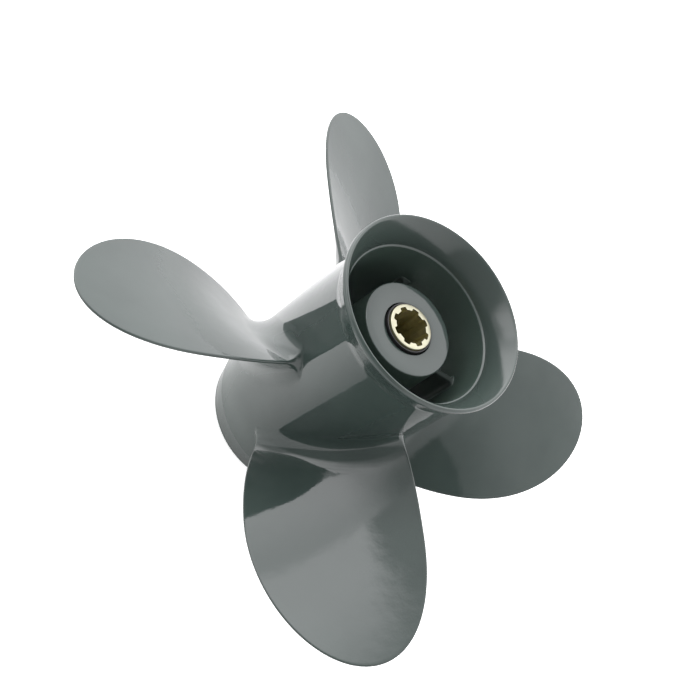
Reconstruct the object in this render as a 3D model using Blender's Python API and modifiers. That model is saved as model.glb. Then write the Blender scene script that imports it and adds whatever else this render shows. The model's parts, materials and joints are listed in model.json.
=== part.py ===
"""Four-blade outboard motor propeller with the exhaust led out through its hub.

Metres, +Z up. The shaft axis is the Z axis, the aft end with the flared rim is up,
and the part stands on the flat ring at the front end of its outer hub.
Blades, outer hub, ribs and inner hub are one aluminium casting on the real propeller.
Here each is a solid of its own, with a hairline gap where the casting would run on.
"""
import math

import bmesh
import bpy
from mathutils import Matrix, Vector

GAP = 0.0003

# Outer hub: radii, and heights above its front face
HUB_LENGTH = 0.110
NOSE_RADIUS = 0.0313
NOSE_SHOULDER = (0.0341, 0.011)
BARREL_RADIUS = 0.0348
BARREL_START = 0.020
FLARE_START = 0.0975
FLARE_POWER = 1.3
RIM_RADIUS = 0.0391
RIM_HEIGHT = 0.1082
LIP_RADIUS = 0.03785
STEP_RADIUS = 0.0319
STEP_HEIGHT = 0.0983
BORE_RADIUS_AFT = 0.0312
BORE_RADIUS_MID = 0.0306
BORE_MID_HEIGHT = 0.014
BORE_RADIUS_FRONT = 0.0286
EDGE_BREAK = 0.0004

# Inner hub, which carries the rubber bush
INNER_AFT = 0.0929
INNER_FRONT = 0.008
INNER_RADIUS_AFT = 0.0190
INNER_RADIUS_FRONT = 0.0210
BUSH_BORE_RADIUS = 0.0146
BUSH_LIP_RADIUS = 0.01045
BUSH_LIP_HEIGHT = 0.004

# Rubber bush and the brass sleeve bonded into it
SLEEVE_RADIUS = 0.0092
SLEEVE_AFT = 0.0949
SLEEVE_FRONT = 0.006
BUSH_RADIUS = BUSH_BORE_RADIUS - GAP
BUSH_INNER_RADIUS = SLEEVE_RADIUS + GAP
BUSH_FRONT = 0.010
COLLAR_RADIUS = 0.0100
COLLAR_AFT = 0.0940

# Spline for the propeller shaft
SPLINE_TEETH = 8
SPLINE_TIP_RADIUS = 0.00675
SPLINE_ROOT_RADIUS = 0.0079
SPLINE_TOOTH_SHARE = 0.42
SPLINE_TURN = math.radians(15.5)

# Ribs between the inner and the outer hub
RIB_COUNT = 4
RIB_THICKNESS = 0.005
RIB_AFT = 0.081
RIB_FRONT = 0.014
RIB_TURN = math.radians(-6)

# Blades: a true helix of constant pitch, raked aft and skewed
BLADE_COUNT = 4
TIP_RADIUS = 0.1175
PITCH = 0.262
DATUM_RADIUS = 0.03525
DATUM_HEIGHT = 0.0470
RAKE_SLOPE = 0.157
RAKE_CURVE = -0.864
SKEW_LINEAR = 0.1143
SKEW_SQUARE = 0.0660
CHORD_MAX = 0.0678
CHORD_MAX_RADIUS = 0.0724
CHORD_TIP_POWER = 2.21
CHORD_INNER_REACH = 0.0803
CHORD_AT_TIP = 0.0025
ROOT_THICKNESS = 0.0080
TIP_THICKNESS = 0.0020
EDGE_THICKNESS = 0.0012
FILLET_RADIUS = 0.0092

# How finely round shapes are divided
HUB_STEPS = 64
INNER_STEPS = 48
ARC_STEPS = 4
CHORD_STEPS = 12
SPAN_STEPS = 12
FILLET_STEPS = 5
EDGE_STEPS = 6


def clear_scene():
    for obj in list(bpy.data.objects):
        bpy.data.objects.remove(obj, do_unlink=True)


def new_collection(name):
    collection = bpy.data.collections.new(name)
    bpy.context.scene.collection.children.link(collection)
    return collection


def make_material(name, color, roughness, metallic):
    material = bpy.data.materials.new(name)
    material.use_nodes = True
    shader = material.node_tree.nodes["Principled BSDF"]
    shader.inputs["Base Color"].default_value = (*color, 1.0)
    shader.inputs["Roughness"].default_value = roughness
    shader.inputs["Metallic"].default_value = metallic
    return material


def add_object(name, data, collection, material=None):
    obj = bpy.data.objects.new(name, data)
    collection.objects.link(obj)
    if material:
        data.materials.append(material)
    return obj


def smooth(mesh):
    mesh.shade_smooth()
    mesh.set_sharp_from_angle(angle=math.radians(35))


def turned(name, profile, steps, collection, material=None):
    """Turn a closed profile of (radius, height) points round the Z axis."""
    count = len(profile)
    mesh = bpy.data.meshes.new(name)
    verts = [(radius, 0.0, height) for radius, height in profile]
    edges = [(i, (i + 1) % count) for i in range(count)]
    mesh.from_pydata(verts, edges, [])
    obj = add_object(name, mesh, collection, material)
    screw = obj.modifiers.new("turn", "SCREW")
    screw.axis = "Z"
    screw.angle = math.tau
    screw.steps = steps
    screw.render_steps = steps
    screw.use_merge_vertices = True
    screw.merge_threshold = 0.00001
    screw.use_smooth_shade = True
    return obj


def bore_radius(height):
    """Radius of the outer hub's bore, drawn in towards the front end."""
    if height < BORE_MID_HEIGHT:
        share = height / BORE_MID_HEIGHT
        return BORE_RADIUS_FRONT + share * (BORE_RADIUS_MID - BORE_RADIUS_FRONT)
    share = (height - BORE_MID_HEIGHT) / (STEP_HEIGHT - BORE_MID_HEIGHT)
    return BORE_RADIUS_MID + share * (BORE_RADIUS_AFT - BORE_RADIUS_MID)


def inner_hub_radius(height):
    share = (INNER_AFT - height) / (INNER_AFT - INNER_FRONT)
    return INNER_RADIUS_AFT + share * (INNER_RADIUS_FRONT - INNER_RADIUS_AFT)


def outer_hub_profile():
    """From the lip of the flared rim down the outside, then up the bore."""
    points = []
    for i in range(ARC_STEPS + 1):
        turn = math.radians(90) * (1 - i / ARC_STEPS)
        points.append((LIP_RADIUS + (RIM_RADIUS - LIP_RADIUS) * math.cos(turn),
                       RIM_HEIGHT + (HUB_LENGTH - RIM_HEIGHT) * math.sin(turn)))
    for i in range(1, ARC_STEPS + 1):
        share = 1 - i / ARC_STEPS
        points.append((BARREL_RADIUS + (RIM_RADIUS - BARREL_RADIUS) * share ** FLARE_POWER,
                       FLARE_START + (RIM_HEIGHT - FLARE_START) * share))
    points += [(BARREL_RADIUS, BARREL_START),
               NOSE_SHOULDER,
               (NOSE_RADIUS, EDGE_BREAK),
               (NOSE_RADIUS - EDGE_BREAK, 0.0),
               (BORE_RADIUS_FRONT, 0.0),
               (BORE_RADIUS_MID, BORE_MID_HEIGHT),
               (BORE_RADIUS_AFT, STEP_HEIGHT - 2 * EDGE_BREAK),
               (STEP_RADIUS, STEP_HEIGHT)]
    return points


def inner_hub_profile():
    return [(INNER_RADIUS_AFT - EDGE_BREAK, INNER_AFT),
            (INNER_RADIUS_AFT, INNER_AFT - EDGE_BREAK),
            (INNER_RADIUS_FRONT, INNER_FRONT + EDGE_BREAK),
            (INNER_RADIUS_FRONT - EDGE_BREAK, INNER_FRONT),
            (BUSH_BORE_RADIUS, INNER_FRONT),
            (BUSH_BORE_RADIUS, INNER_AFT - BUSH_LIP_HEIGHT),
            (BUSH_LIP_RADIUS, INNER_AFT - BUSH_LIP_HEIGHT),
            (BUSH_LIP_RADIUS, INNER_AFT - EDGE_BREAK),
            (BUSH_LIP_RADIUS + EDGE_BREAK, INNER_AFT)]


def bush_profile():
    """A ring of rubber, with a thin collar that runs up the sleeve past the bore's lip."""
    shoulder = INNER_AFT - BUSH_LIP_HEIGHT - GAP
    return [(COLLAR_RADIUS, COLLAR_AFT),
            (COLLAR_RADIUS, shoulder),
            (BUSH_RADIUS, shoulder),
            (BUSH_RADIUS, BUSH_FRONT),
            (BUSH_INNER_RADIUS, BUSH_FRONT),
            (BUSH_INNER_RADIUS, COLLAR_AFT)]


def add_circle(curve, radius, count):
    spline = curve.splines.new("POLY")
    spline.points.add(count - 1)
    for i, point in enumerate(spline.points):
        turn = math.tau * i / count
        point.co = (radius * math.cos(turn), radius * math.sin(turn), 0.0, 1.0)
    spline.use_cyclic_u = True


def add_spline_outline(curve):
    """Outline of the toothed bore: each tooth is an arc at the tip radius."""
    pitch_angle = math.tau / SPLINE_TEETH
    tooth = SPLINE_TOOTH_SHARE * pitch_angle
    groove = pitch_angle - tooth
    flank = math.radians(2.5)
    points = []
    for k in range(SPLINE_TEETH):
        centre = SPLINE_TURN + k * pitch_angle
        for i in range(3):
            turn = centre + tooth * (i / 2 - 0.5)
            points.append((SPLINE_TIP_RADIUS, turn))
        start = centre + tooth / 2 + flank
        for i in range(4):
            points.append((SPLINE_ROOT_RADIUS, start + (groove - 2 * flank) * i / 3))
    spline = curve.splines.new("POLY")
    spline.points.add(len(points) - 1)
    for point, (radius, turn) in zip(spline.points, points):
        point.co = (radius * math.cos(turn), radius * math.sin(turn), 0.0, 1.0)
    spline.use_cyclic_u = True


def splined_sleeve(collection, material):
    """Brass tube drawn as a flat outline with the toothed hole in it."""
    curve = bpy.data.curves.new("splined_sleeve", "CURVE")
    curve.dimensions = "2D"
    curve.fill_mode = "BOTH"
    curve.extrude = (SLEEVE_AFT - SLEEVE_FRONT) / 2
    add_circle(curve, SLEEVE_RADIUS, INNER_STEPS)
    add_spline_outline(curve)
    obj = add_object("splined_sleeve", curve, collection, material)
    obj.location.z = (SLEEVE_AFT + SLEEVE_FRONT) / 2
    return obj


def rib(number, passage, collection, material):
    """A flat web across the exhaust passage, trimmed to both hubs by the passage."""
    middle = (INNER_RADIUS_AFT + BORE_RADIUS_AFT) / 2
    reach = 2 * (BORE_RADIUS_AFT - INNER_RADIUS_AFT)
    turn = RIB_TURN + math.tau * (number - 1) / RIB_COUNT
    bm = bmesh.new()
    bmesh.ops.create_cube(bm, size=1.0)
    bmesh.ops.scale(bm, vec=(reach, RIB_THICKNESS, 2 * HUB_LENGTH), verts=bm.verts)
    bmesh.ops.translate(bm, vec=(middle, 0.0, 0.0), verts=bm.verts)
    mesh = bpy.data.meshes.new(f"rib_{number}")
    bm.to_mesh(mesh)
    bm.free()
    obj = add_object(f"rib_{number}", mesh, collection, material)
    obj.rotation_euler.z = turn
    trim = obj.modifiers.new("trim", "BOOLEAN")
    trim.operation = "INTERSECT"
    trim.solver = "EXACT"
    trim.object = passage
    return obj


def passage_cutter(collection):
    """The ring of space between the hubs, as long as the ribs and a gap smaller."""
    profile = [(bore_radius(RIB_AFT) - GAP, RIB_AFT),
               (bore_radius(RIB_FRONT) - GAP, RIB_FRONT),
               (inner_hub_radius(RIB_FRONT) + GAP, RIB_FRONT),
               (inner_hub_radius(RIB_AFT) + GAP, RIB_AFT)]
    obj = turned("passage", profile, HUB_STEPS, collection)
    obj.hide_render = True
    obj.display_type = "WIRE"
    return obj


def chord(radius):
    """Blade width: an ellipse inwards of the widest place, a fuller curve outwards."""
    if radius < CHORD_MAX_RADIUS:
        share = (CHORD_MAX_RADIUS - radius) / CHORD_INNER_REACH
        return CHORD_MAX * math.sqrt(1 - share ** 2)
    share = (radius - CHORD_MAX_RADIUS) / (TIP_RADIUS - CHORD_MAX_RADIUS)
    return max(CHORD_MAX * math.sqrt(max(0.0, 1 - share ** CHORD_TIP_POWER)), CHORD_AT_TIP)


def blade_thickness(radius, across):
    """Thickness at a place across the chord, from -1 (leading) to 1 (trailing edge)."""
    share = (TIP_RADIUS - radius) / (TIP_RADIUS - DATUM_RADIUS)
    greatest = TIP_THICKNESS + (ROOT_THICKNESS - TIP_THICKNESS) * share ** 1.2
    return EDGE_THICKNESS + (greatest - EDGE_THICKNESS) * (1 - across ** 2)


def rounded_edge(start, end):
    """Points between two corners of a section, on the half circle that bulges outwards."""
    middle = start.lerp(end, 0.5)
    return [middle + Matrix.Rotation(-math.pi * i / EDGE_STEPS, 2) @ (start - middle)
            for i in range(1, EDGE_STEPS)]


def flat_section(radius):
    """Blade section unrolled from its cylinder, with its edges rounded."""
    span = (radius - DATUM_RADIUS) / (TIP_RADIUS - DATUM_RADIUS)
    middle = SKEW_LINEAR * span + SKEW_SQUARE * span ** 2
    rise = PITCH / math.tau
    slope = math.atan2(rise, radius)
    half = (chord(radius) - EDGE_THICKNESS) / 2 * math.cos(slope)
    rake = RAKE_SLOPE * (radius - DATUM_RADIUS) + RAKE_CURVE * (radius - DATUM_RADIUS) ** 2
    aft, forward = [], []
    for i in range(CHORD_STEPS + 1):
        across = -math.cos(math.pi * i / CHORD_STEPS)
        along = middle * radius + half * across
        height = DATUM_HEIGHT + rise * along / radius + rake
        thickness = blade_thickness(radius, across)
        aft.append(Vector((along, height)))
        forward.append(Vector((along + thickness * math.sin(slope),
                               height - thickness * math.cos(slope))))
    return (aft + rounded_edge(aft[-1], forward[-1])
            + forward[::-1] + rounded_edge(forward[0], aft[0]))


def sides(section):
    """The aft face, trailing edge, forward face and leading edge of a section."""
    face = CHORD_STEPS + 1
    edge = EDGE_STEPS - 1
    return (section[:face], section[face:face + edge],
            section[face + edge:2 * face + edge][::-1], section[2 * face + edge:][::-1])


def grown(loop, distance):
    """Move each point of an unrolled section outwards, for the root fillet."""
    count = len(loop)
    result = []
    for i, point in enumerate(loop):
        tangent = (loop[(i + 1) % count] - loop[i - 1]).normalized()
        result.append(point + distance * Vector((-tangent.y, tangent.x)))
    return result


def rolled(loop, radius):
    """Wrap an unrolled section back round its cylinder."""
    return [Vector((radius * math.cos(p.x / radius), radius * math.sin(p.x / radius), p.y))
            for p in loop]


def blade_stations():
    """(radius, growth) pairs from the hairline gap at the barrel to the tip."""
    first = math.acos(1 - GAP / FILLET_RADIUS)
    stations = []
    for i in range(FILLET_STEPS):
        turn = first + (math.radians(90) - first) * i / FILLET_STEPS
        radius = BARREL_RADIUS + FILLET_RADIUS * (1 - math.cos(turn))
        stations.append((radius, FILLET_RADIUS * (1 - math.sin(turn))))
    root = BARREL_RADIUS + FILLET_RADIUS
    for i in range(SPAN_STEPS + 1):
        turn = math.radians(90) * i / SPAN_STEPS
        stations.append((root + (TIP_RADIUS - root) * math.sin(turn), 0.0))
    return stations


def join_rings(bm, lower, upper):
    count = len(lower)
    for i in range(count):
        j = (i + 1) % count
        bm.faces.new((lower[i], lower[j], upper[j], upper[i]))


def close_ring(bm, ring, flat, radius):
    """Close a section with rows of faces from its aft side to its forward side."""
    aft, trailing, forward, leading = sides(ring)
    flat_aft, _, flat_forward, _ = sides(flat)
    rows = [[aft[0], *leading, forward[0]]]
    for i in range(1, CHORD_STEPS):
        points = [flat_aft[i].lerp(flat_forward[i], k / EDGE_STEPS) for k in range(1, EDGE_STEPS)]
        rows.append([aft[i], *(bm.verts.new(p) for p in rolled(points, radius)), forward[i]])
    rows.append([aft[-1], *trailing, forward[-1]])
    for near, far in zip(rows, rows[1:]):
        for k in range(EDGE_STEPS):
            bm.faces.new((near[k], near[k + 1], far[k + 1], far[k]))


def blade_mesh():
    """A loft through the sections, with its root end following the barrel."""
    bm = bmesh.new()
    stations = blade_stations()
    flats = [grown(flat_section(radius), growth) for radius, growth in stations]
    rings = []
    for (radius, growth), flat in zip(stations, flats):
        rings.append([bm.verts.new(p) for p in rolled(flat, radius)])
    for lower, upper in zip(rings, rings[1:]):
        join_rings(bm, lower, upper)
    close_ring(bm, rings[0], flats[0], stations[0][0])
    close_ring(bm, rings[-1], flats[-1], stations[-1][0])
    bmesh.ops.recalc_face_normals(bm, faces=bm.faces)
    mesh = bpy.data.meshes.new("blade")
    bm.to_mesh(mesh)
    bm.free()
    smooth(mesh)
    return mesh


def build():
    clear_scene()
    parts = new_collection("outboard_propeller")
    cutters = new_collection("cutters")
    paint = make_material("grey_paint", (0.13, 0.14, 0.135), 0.25, 0.0)
    rubber = make_material("black_rubber", (0.012, 0.012, 0.012), 0.7, 0.0)
    brass = make_material("brass", (0.78, 0.66, 0.38), 0.3, 1.0)

    turned("outer_hub", outer_hub_profile(), HUB_STEPS, parts, paint)
    turned("inner_hub", inner_hub_profile(), INNER_STEPS, parts, paint)
    turned("rubber_bush", bush_profile(), INNER_STEPS, parts, rubber)
    splined_sleeve(parts, brass)

    passage = passage_cutter(cutters)
    for number in range(1, RIB_COUNT + 1):
        rib(number, passage, parts, paint)

    blade = blade_mesh()
    blade.materials.append(paint)
    for number in range(1, BLADE_COUNT + 1):
        obj = add_object(f"blade_{number}", blade, parts)
        obj.matrix_world = Matrix.Rotation(math.tau * (number - 1) / BLADE_COUNT, 4, "Z")


build()
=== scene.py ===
# %% [markdown]
# # A four-blade propeller for an outboard motor
# The real thing is one aluminium casting in gloss grey paint: an outer hub that the exhaust
# runs through, four blades on it, and four ribs that carry an inner hub. A rubber bush sits in
# the inner hub, and a brass sleeve with an eight-tooth bore sits in the rubber.
# A CAD model of it is loaded first, as a fixed frame. It is right in its sizes but faceted, so
# every piece is made again here as a smooth mesh in the same place.

# %% Load the frame and keep its box
import json
import math

import bmesh
import bpy
from mathutils import Matrix, Vector

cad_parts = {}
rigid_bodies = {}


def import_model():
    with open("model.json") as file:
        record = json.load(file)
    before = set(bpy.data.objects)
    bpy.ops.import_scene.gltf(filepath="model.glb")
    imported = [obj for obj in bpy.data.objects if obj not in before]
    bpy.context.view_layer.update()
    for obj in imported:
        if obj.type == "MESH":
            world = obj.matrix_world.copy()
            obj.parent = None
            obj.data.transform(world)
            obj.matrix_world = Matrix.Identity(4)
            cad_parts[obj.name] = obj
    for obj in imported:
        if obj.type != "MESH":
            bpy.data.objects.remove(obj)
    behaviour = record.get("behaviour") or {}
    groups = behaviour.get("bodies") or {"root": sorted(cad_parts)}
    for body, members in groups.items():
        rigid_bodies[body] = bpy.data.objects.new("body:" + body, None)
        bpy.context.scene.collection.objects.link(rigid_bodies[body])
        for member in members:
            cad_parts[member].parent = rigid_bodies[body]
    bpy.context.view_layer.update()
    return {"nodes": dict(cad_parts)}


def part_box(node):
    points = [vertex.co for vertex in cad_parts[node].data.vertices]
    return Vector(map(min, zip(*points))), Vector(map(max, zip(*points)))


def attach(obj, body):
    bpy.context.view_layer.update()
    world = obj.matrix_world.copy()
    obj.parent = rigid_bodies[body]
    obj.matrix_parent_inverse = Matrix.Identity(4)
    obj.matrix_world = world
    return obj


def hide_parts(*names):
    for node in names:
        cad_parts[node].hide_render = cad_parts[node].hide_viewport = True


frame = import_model()
MM = 0.001
print("nodes in the frame:", len(frame["nodes"]))

# %% [markdown]
# ## Camera
# A product shot from above and behind, with the camera rolled so that the shaft axis runs up
# to the right. It could be aimed with a Track To constraint. An explicit matrix keeps the roll
# as one number: look along the line to the target, then turn about that line.

# %% Camera
CAMERA_PLACE = Vector((0.24210, -0.18922, 0.39781))
CAMERA_TARGET = Vector((0.00752, -0.01282, 0.07500))
CAMERA_ROLL = math.radians(55.42)
LENS_MM = 60.2

camera = bpy.data.objects.new("camera", bpy.data.cameras.new("camera"))
camera.data.lens = LENS_MM
look = (CAMERA_TARGET - CAMERA_PLACE).to_track_quat("-Z", "Y").to_matrix()
camera.matrix_world = (Matrix.Translation(CAMERA_PLACE)
                       @ (look @ Matrix.Rotation(CAMERA_ROLL, 3, "Z")).to_4x4())
bpy.context.scene.collection.objects.link(camera)
bpy.context.scene.camera = camera
print("camera to target mm:", round((CAMERA_TARGET - CAMERA_PLACE).length / MM))

# %% [markdown]
# ## From a bmesh to a piece
# A bmesh is only data. To become a piece it needs a mesh, an object, smooth shading with the
# true corners kept sharp, and its place in the frame: the body that it rides on and the faceted
# nodes that it stands for. Every piece goes through this one function, so none of these can be
# forgotten.

# %% Turn a bmesh into a piece
SHARP_ANGLE = math.radians(40)


def add_piece(name, bm, slot, *nodes):
    """Make a bmesh a piece that rides on the frame and stands for some of its nodes."""
    mesh = bpy.data.meshes.new(name)
    bm.to_mesh(mesh)
    bm.free()
    mesh.shade_smooth()
    mesh.set_sharp_from_angle(angle=SHARP_ANGLE)
    obj = bpy.data.objects.new(name, mesh)
    bpy.context.scene.collection.objects.link(obj)
    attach(obj, "root")
    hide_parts(*nodes)
    print(name, "has", len(mesh.polygons), "faces")


# %% [markdown]
# ## Turned pieces
# Most of the hub is turned, so its pieces are profiles of radius and height spun round the Z
# axis. A Screw modifier would do the same. Spinning in bmesh leaves a finished mesh at once,
# whose sharp rings can then be rounded one by one with the bevel operator.

# %% Spin a profile
TURN_STEPS = 384
WELD_DISTANCE = 0.001 * MM


def turned(profile):
    """Spin a closed profile of (radius, height) points once round the Z axis."""
    bm = bmesh.new()
    verts = [bm.verts.new((radius, 0, height)) for radius, height in profile]
    edges = [bm.edges.new(pair) for pair in zip(verts, verts[1:] + verts[:1])]
    bmesh.ops.spin(bm, geom=verts + edges, cent=(0, 0, 0), axis=(0, 0, 1),
                   angle=math.tau, steps=TURN_STEPS, use_merge=True)
    bmesh.ops.remove_doubles(bm, verts=bm.verts, dist=WELD_DISTANCE)
    bmesh.ops.recalc_face_normals(bm, faces=bm.faces)
    return bm


# %% Round one ring of a turned piece
RING_TOLERANCE = 0.01 * MM
RING_SEGMENTS = 4
FEW_SEGMENTS = 2


def round_ring(bm, radius, height, width, segments=RING_SEGMENTS):
    """Round the ring that one point of a profile left."""
    def on_ring(vert):
        return (abs(vert.co.xy.length - radius) < RING_TOLERANCE
                and abs(vert.co.z - height) < RING_TOLERANCE)

    edges = [e for e in bm.edges if all(on_ring(v) for v in e.verts)]
    bmesh.ops.bevel(bm, geom=edges, offset=width, segments=segments, profile=0.5,
                    affect="EDGES", material=-1)


# %% Sizes of a turned node


def sizes(node):
    """Outer radius, lowest and highest point of a turned node of the frame."""
    low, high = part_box(node)
    return high[0], low[2], high[2]


for node in ("outer_hub", "inner_hub", "splined_sleeve"):
    print(node, "radius, low, high mm:", [round(value / MM, 2) for value in sizes(node)])

# %% [markdown]
# ## Outer hub
# The barrel is cast, then its flared aft end is turned. It is nearly a plain cylinder: a slight
# taper at the nose with a crisp shoulder, a flare that throws the exhaust clear of the blades,
# and a bore with one small step where the turned flare meets the rough casting. Both sides of
# the flare are power curves, because it opens fastest at its rim, like a bell. A Bezier curve
# could be drawn by eye instead, but then nothing would keep the wall even.

# %% Sizes of the outer hub
RIM_RADIUS, _, HUB_LENGTH = sizes("outer_hub")
RIM_HEIGHT = HUB_LENGTH - 1.8 * MM
LIP_RADIUS = RIM_RADIUS - 1.25 * MM
BARREL_RADIUS = 34.8 * MM
BARREL_START = 20 * MM
BARREL_ROUNDING = 4 * MM
BARREL_SEGMENTS = 8
FLARE_START = 97.5 * MM
FLARE_POWER = 1.3
BELL_POWER = 1.45
NOSE_RADIUS = 31.3 * MM
NOSE_SHOULDER = (34.1 * MM, 11 * MM)
LEDGE = (31.95 * MM, 98.45 * MM)
STEP = (31.2 * MM, 98.15 * MM)
BORE_AFT = (31.2 * MM, 90 * MM)
BORE_MID = (30.6 * MM, 14 * MM)
BORE_FRONT_RADIUS = 28.6 * MM
CORNER_ROUNDING = 0.5 * MM
FRONT_ROUNDING = 0.4 * MM
STEP_ROUNDING = 0.35 * MM
LEDGE_ROUNDING = 0.2 * MM
print("wall of the barrel mm:", round((BARREL_RADIUS - BORE_AFT[0]) / MM, 2))

# %% Curves of the flared rim
LIP_POINTS = 6
FLARE_POINTS = 12

lip = []
for i in range(LIP_POINTS):
    turn = math.radians(90) * (1 - i / LIP_POINTS)
    lip.append((LIP_RADIUS + (RIM_RADIUS - LIP_RADIUS) * math.cos(turn),
                RIM_HEIGHT + (HUB_LENGTH - RIM_HEIGHT) * math.sin(turn)))
flare = []
for i in range(FLARE_POINTS + 1):
    share = 1 - i / FLARE_POINTS
    flare.append((BARREL_RADIUS + (RIM_RADIUS - BARREL_RADIUS) * share ** FLARE_POWER,
                  FLARE_START + (RIM_HEIGHT - FLARE_START) * share))
bell = []
for i in range(FLARE_POINTS):
    share = i / FLARE_POINTS
    bell.append((LEDGE[0] + (LIP_RADIUS - LEDGE[0]) * share ** BELL_POWER,
                 LEDGE[1] + (HUB_LENGTH - LEDGE[1]) * share))
print("points on the lip, the flare and the bell:", len(lip), len(flare), len(bell))

# %% Turn the outer hub
hub = turned(lip + flare + [(BARREL_RADIUS, BARREL_START), NOSE_SHOULDER, (NOSE_RADIUS, 0),
                            (BORE_FRONT_RADIUS, 0), BORE_MID, BORE_AFT, STEP] + bell)
round_ring(hub, LIP_RADIUS, HUB_LENGTH, CORNER_ROUNDING)
round_ring(hub, BARREL_RADIUS, BARREL_START, BARREL_ROUNDING, BARREL_SEGMENTS)
round_ring(hub, *NOSE_SHOULDER, CORNER_ROUNDING)
round_ring(hub, NOSE_RADIUS, 0, CORNER_ROUNDING)
round_ring(hub, BORE_FRONT_RADIUS, 0, FRONT_ROUNDING)
round_ring(hub, *STEP, STEP_ROUNDING)
round_ring(hub, *LEDGE, LEDGE_ROUNDING, FEW_SEGMENTS)
add_piece("outer_hub_casting", hub, "paint", "outer_hub")

# %% [markdown]
# ## Blades
# Each blade is a thin plate on a helix, raked aft and skewed back. A grid is the natural start,
# because two numbers on it, across the chord and out along the span, are all that the shape
# needs. Outwards of the widest place the grid is gathered into half a disc, so that the tip is
# round and has no corners. A plane with a Subdivision Surface could be pulled into such a shape
# by hand, but a formula keeps all four blades alike and on their true pitch.

# %% Driving sizes of a blade
TIP_RADIUS = 117.5 * MM
PITCH = 262 * MM
RISE = PITCH / math.tau
DATUM_RADIUS = 35.25 * MM
DATUM_HEIGHT = 47.0 * MM
RAKE_SLOPE = 0.157
RAKE_CURVE = -0.864
SKEW_LINEAR = 0.1143
SKEW_SQUARE = 0.0660
CHORD_MAX = 67.8 * MM
CHORD_MAX_RADIUS = 72.4 * MM
CHORD_INNER_REACH = 80.3 * MM
CHORD_TIP_POWER = 2.21
ROOT_THICKNESS = 8.0 * MM
TIP_THICKNESS = 2.0 * MM
EDGE_THICKNESS = 1.2 * MM
THINNING_POWER = 1.2
print("blade angle at the tip, degrees:", round(math.degrees(math.atan2(RISE, TIP_RADIUS)), 1))

# %% Rows of the grid
# The rows crowd together in the fillet at the root, where the surface turns the fastest.
ACROSS_STEPS = 64
ROOT_STEPS = 50
FILLET_STEPS = 22
TIP_STEPS = ACROSS_STEPS // 2
FILLET_RADIUS = 9.2 * MM
FOOT_DEPTH = 1.2 * MM
FOOT_DIP = 0.03 * MM
FOOT_SPREAD = 1.0 * MM
ROW_CROWDING = 1.3


def root_row_radius(row):
    """Radius of a row of the grid inwards of the widest place."""
    if row == 0:
        return BARREL_RADIUS - FOOT_DEPTH
    if row == 1:
        return BARREL_RADIUS - FOOT_DIP
    if row <= FILLET_STEPS:
        share = (row - 2) / (FILLET_STEPS - 2)
        turn = math.radians(90) * share ** ROW_CROWDING
        return BARREL_RADIUS + FILLET_RADIUS * (1 - math.cos(turn))
    root = BARREL_RADIUS + FILLET_RADIUS
    share = (row - FILLET_STEPS) / (ROOT_STEPS - FILLET_STEPS)
    return root + (CHORD_MAX_RADIUS - root) * share


print("first row above the fillet mm:", round(root_row_radius(FILLET_STEPS + 1) / MM, 2))

# %% Outline of a blade


def outline(u, row):
    """Distance across the chord, radius, and nearness to the rim, all from a grid place."""
    if row <= ROOT_STEPS:
        radius = root_row_radius(row)
        share = (CHORD_MAX_RADIUS - radius) / CHORD_INNER_REACH
        return u * CHORD_MAX / 2 * math.sqrt(1 - share ** 2), radius, abs(u)
    v = (row - ROOT_STEPS) / TIP_STEPS
    rim = max(abs(u), v)
    eighth = math.radians(45)
    turn = eighth * v / abs(u) if v <= abs(u) else 2 * eighth - eighth * abs(u) / v
    across = rim * math.cos(turn)
    out = (rim * math.sin(turn)) ** (2 / CHORD_TIP_POWER)
    radius = CHORD_MAX_RADIUS + (TIP_RADIUS - CHORD_MAX_RADIUS) * out
    return math.copysign(across, u) * CHORD_MAX / 2, radius, rim


print("chord at the barrel mm:", round(2 * outline(1, 2)[0] / MM, 1))

# %% The line through the middle of a blade


def span_share(radius):
    """0 at the barrel and 1 at the tip."""
    return (radius - DATUM_RADIUS) / (TIP_RADIUS - DATUM_RADIUS)


def middle(radius):
    """Turn and height of the middle of the chord at a radius."""
    span = span_share(radius)
    beyond = radius - DATUM_RADIUS
    turn = SKEW_LINEAR * span + SKEW_SQUARE * span ** 2
    return turn, (DATUM_HEIGHT + RISE * turn + RAKE_SLOPE * beyond
                  + RAKE_CURVE * beyond ** 2)


print("skew of the tip, degrees:", round(math.degrees(middle(TIP_RADIUS)[0]), 1))

# %% A point on a blade


def blade_point(u, row, forward):
    """A point on the aft face of the blade, or on its forward face."""
    across, radius, rim = outline(u, row)
    span = span_share(radius)
    slope = math.atan2(RISE, radius)
    turn, height = middle(radius)
    turn += across * math.cos(slope) / radius
    height += RISE * across * math.cos(slope) / radius
    if forward:
        greatest = (TIP_THICKNESS
                    + (ROOT_THICKNESS - TIP_THICKNESS) * (1 - span) ** THINNING_POWER)
        thickness = EDGE_THICKNESS + (greatest - EDGE_THICKNESS) * (1 - rim ** 2)
        turn += thickness * math.sin(slope) / radius
        height -= thickness * math.cos(slope)
    return Vector((radius * math.cos(turn), radius * math.sin(turn), height))


print("tip of the blade mm:", [round(c / MM, 1) for c in blade_point(0, ROOT_STEPS + TIP_STEPS, 0)])

# %% [markdown]
# ## Two faces and a rounded rim
# The grid is extruded to give the second face of the blade, each point of both layers is sent
# to its place, and the rim between the two faces is bevelled round. A Solidify modifier would
# give an even thickness, but a cast blade is thick at the root and thin at its edges.

# %% Blade grid
RIM_ROUNDING = 0.5 * MM
RIM_SEGMENTS = 8


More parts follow.
